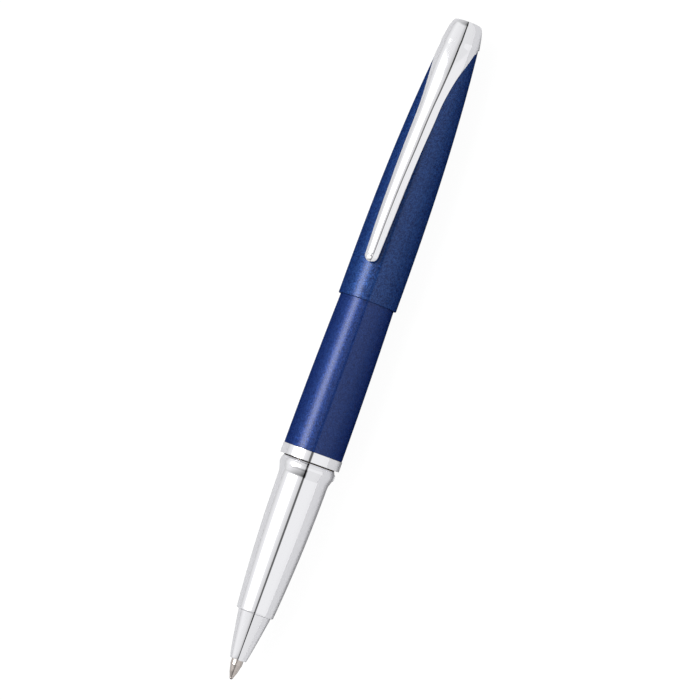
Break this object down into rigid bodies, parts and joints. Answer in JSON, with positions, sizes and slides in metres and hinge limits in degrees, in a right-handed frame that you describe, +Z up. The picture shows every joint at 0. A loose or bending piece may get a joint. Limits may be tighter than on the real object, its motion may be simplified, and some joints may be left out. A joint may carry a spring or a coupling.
{
  "type": "rollerball pen",
  "caption": "Metal rollerball pen with its cap posted on the barrel: lacquered barrel and cap, polished grip, and a sprung clip cast in one with the crown.",
  "frame": {"origin": "under the middle of the pen, on the surface that it lies on", "axes": "+X along the pen from the writing tip to the crown, +Z up through the clip, +Y to complete a right-handed frame"},
  "size_m": [0.1494, 0.0134, 0.0153],
  "materials": {
    "lacquer": "gloss blue lacquer with fine mica",
    "chrome": "polished",
    "nickel_silver": "turned, warm grey",
    "ball_carbide": "polished dark carbide, wet with ink",
    "brass": "turned",
    "steel": "bright",
    "rubber": "matt black",
    "black_plastic": "moulded",
    "pale_plastic": "moulded, off-white",
    "ink": "wet black ink",
    "grease": "amber grease"
  },
  "bodies": {
    "barrel": {"barrel_shell": "lacquer", "barrel_trim_ring": "chrome", "barrel_thread_bush": "brass", "barrel_end_plug": "chrome", "refill_spring": "steel"},
    "refill": {"refill_tube": "steel", "refill_holder": "pale_plastic", "refill_point": "nickel_silver", "refill_end_plug": "black_plastic", "ink_charge": "ink", "ink_follower": "grease"},
    "ball": {"refill_ball": "ball_carbide"},
    "section": {"grip_shell": "chrome", "grip_liner": "black_plastic", "nose_cone": "chrome", "section_thread_sleeve": "brass", "section_o_ring": "rubber"},
    "cap_clutch": {"cap_clutch_ring": "black_plastic"},
    "cap": {"cap_shell": "lacquer", "inner_cap": "black_plastic", "cap_bridge": "brass", "clip_spring": "steel"},
    "clip": {"clip_casting": "chrome", "clip_screw": "steel", "clip_washer": "steel"}
  },
  "joints": [
    {"name": "cap_pull", "type": "slide", "parent": "barrel", "child": "cap_clutch", "axis": [1, 0, 0], "range_m": [0, 0.045]},
    {"name": "cap_turn", "type": "hinge", "parent": "cap_clutch", "child": "cap", "pos_m": [0, 0, 0.00665], "axis": [1, 0, 0], "continuous": true},
    {"name": "clip_lift", "type": "hinge", "parent": "cap", "child": "clip", "pos_m": [0.06994, 0, 0.00245], "axis": [0, 1, 0], "range_deg": [0, 3], "stiffness_Nm_per_rad": 1.5, "springref_deg": -1.15, "deforming": ["clip_spring"]},
    {"name": "refill_feed", "type": "slide", "parent": "barrel", "child": "refill", "axis": [-1, 0, 0], "range_m": [0, 0.005], "deforming": ["refill_spring"]},
    {"name": "section_turn", "type": "hinge", "parent": "refill", "child": "section", "pos_m": [0, 0, 0.00665], "axis": [-1, 0, 0], "range_deg": [0, 1440]},
    {"name": "ball_roll", "type": "hinge", "parent": "refill", "child": "ball", "pos_m": [-0.07439, 0, 0.00665], "axis": [0, 1, 0], "continuous": true}
  ],
  "couplings": [
    {"joint": "section_turn", "follows": "refill_feed", "rad_per_m": 5026.5}
  ]
}
